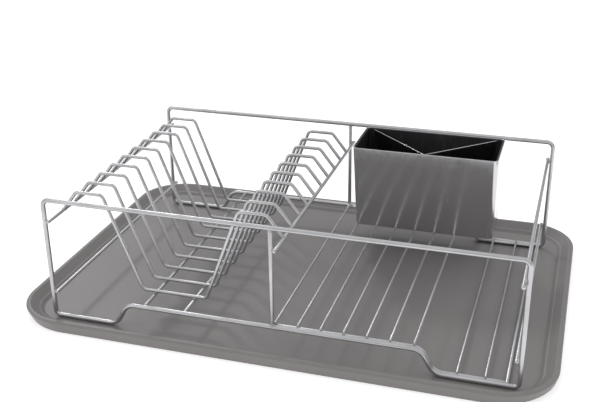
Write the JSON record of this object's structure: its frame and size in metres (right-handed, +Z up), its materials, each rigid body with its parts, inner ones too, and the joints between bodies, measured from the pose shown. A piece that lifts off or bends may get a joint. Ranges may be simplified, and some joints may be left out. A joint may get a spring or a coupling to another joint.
{
  "type": "dish drying rack",
  "caption": "Wire dish drying rack with plate dividers, a raised grid for bowls and a lift-out cutlery holder, standing in a shallow drip tray.",
  "frame": {"origin": "centre of the tray's underside, on the worktop", "axes": "+X to the right along the rack, +Y from the front frame to the back frame, +Z up"},
  "size_m": [0.56, 0.381, 0.139],
  "materials": {
    "chrome_wire": "bright plated wire with small weld beads",
    "steel_sheet": "smooth, nearly mirror-bright stainless sheet",
    "black_liner": "smooth black moulded plastic",
    "grey_tray": "fine-textured warm grey moulded plastic"
  },
  "bodies": {
    "tray": {"drip_tray": "grey_tray"},
    "rack": {"front_frame": "chrome_wire", "back_frame": "chrome_wire", "front_upright": "chrome_wire", "back_upright": "chrome_wire", "left_rail": "chrome_wire", "middle_rail": "chrome_wire", "right_rail": "chrome_wire", "left_base_wire": "chrome_wire", "right_base_wire": "chrome_wire", "plate_wire_left": "chrome_wire", "plate_wire_right": "chrome_wire", "plate_divider_01": "chrome_wire", "plate_divider_02": "chrome_wire", "plate_divider_03": "chrome_wire", "plate_divider_04": "chrome_wire", "plate_divider_05": "chrome_wire", "plate_divider_06": "chrome_wire", "plate_divider_07": "chrome_wire", "plate_divider_08": "chrome_wire", "plate_divider_09": "chrome_wire", "plate_divider_10": "chrome_wire", "grid_front_rail": "chrome_wire", "grid_back_rail": "chrome_wire", "grid_end_wire": "chrome_wire", "grid_wire_01": "chrome_wire", "grid_wire_02": "chrome_wire", "grid_wire_03": "chrome_wire", "grid_wire_04": "chrome_wire", "grid_wire_05": "chrome_wire", "grid_wire_06": "chrome_wire", "grid_wire_07": "chrome_wire", "grid_wire_08": "chrome_wire", "grid_wire_09": "chrome_wire"},
    "cutlery_holder": {"holder_shell": "steel_sheet"},
    "liner": {"holder_liner": "black_liner"},
    "divider": {"cutlery_divider": "steel_sheet"}
  },
  "joints": [
    {"name": "rack_lift", "type": "slide", "parent": "tray", "child": "rack", "axis": [0, 0, 1], "range_m": [0, 0.15]},
    {"name": "holder_lift", "type": "slide", "parent": "rack", "child": "cutlery_holder", "axis": [0, 0, 1], "range_m": [0, 0.12]},
    {"name": "liner_lift", "type": "slide", "parent": "cutlery_holder", "child": "liner", "axis": [0, 0, 1], "range_m": [0, 0.105]},
    {"name": "cutlery_divider_lift", "type": "slide", "parent": "liner", "child": "divider", "axis": [0, 0, 1], "range_m": [0, 0.1]}
  ]
}
